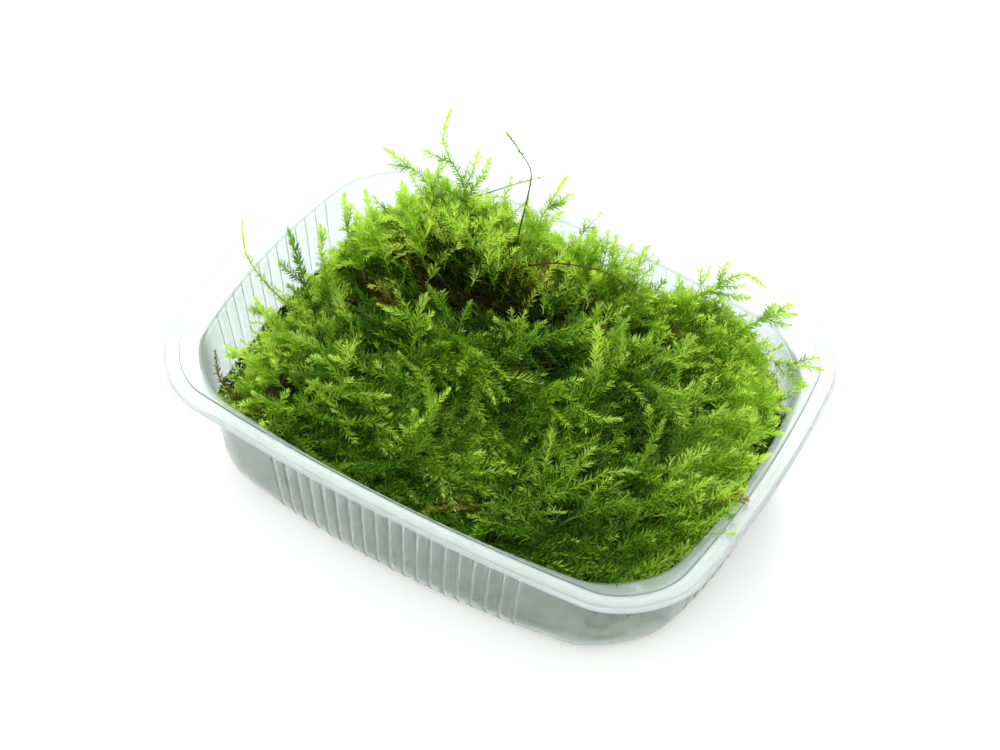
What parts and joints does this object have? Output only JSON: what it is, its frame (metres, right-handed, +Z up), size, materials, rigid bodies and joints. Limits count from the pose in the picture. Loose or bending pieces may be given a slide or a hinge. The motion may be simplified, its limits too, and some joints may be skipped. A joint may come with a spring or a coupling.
{
  "type": "aquatic moss in a shallow plastic tub",
  "caption": "Loose leafy aquatic moss heaped in a shallow rectangular milky plastic tub with rounded corners and a flat rim.",
  "frame": {"origin": "centre of the tub's flat underside", "axes": "+Z up out of the tub, +X along its long side"},
  "size_m": [0.139, 0.101, 0.0543],
  "materials": {
    "milky_plastic": "milky, see-through polypropylene, faintly glossy",
    "moss": "wet leafy moss, deep green inside to bright yellow-green at the tips",
    "moss_stem": "bare olive to brown stems"
  },
  "bodies": {
    "root": {"tub": "milky_plastic", "moss_mat": "moss", "shoot_tall": "moss", "shoot_back_left": "moss", "shoot_back_mid": "moss", "shoot_left_a": "moss", "shoot_left_b": "moss", "shoot_left_c": "moss", "shoot_left_d": "moss", "shoot_dark": "moss", "shoot_back_a": "moss", "shoot_back_b": "moss", "shoot_curled": "moss", "shoot_far_right": "moss", "shoot_reaching": "moss", "shoot_right_a": "moss", "shoot_right_b": "moss", "shoot_near_right": "moss", "shoot_left_low": "moss", "shoot_left_tip": "moss", "stem_pale": "moss_stem", "stem_thin": "moss_stem", "stem_yellow": "moss_stem", "stem_arched": "moss_stem", "stem_brown": "moss_stem"}
  },
  "joints": []
}
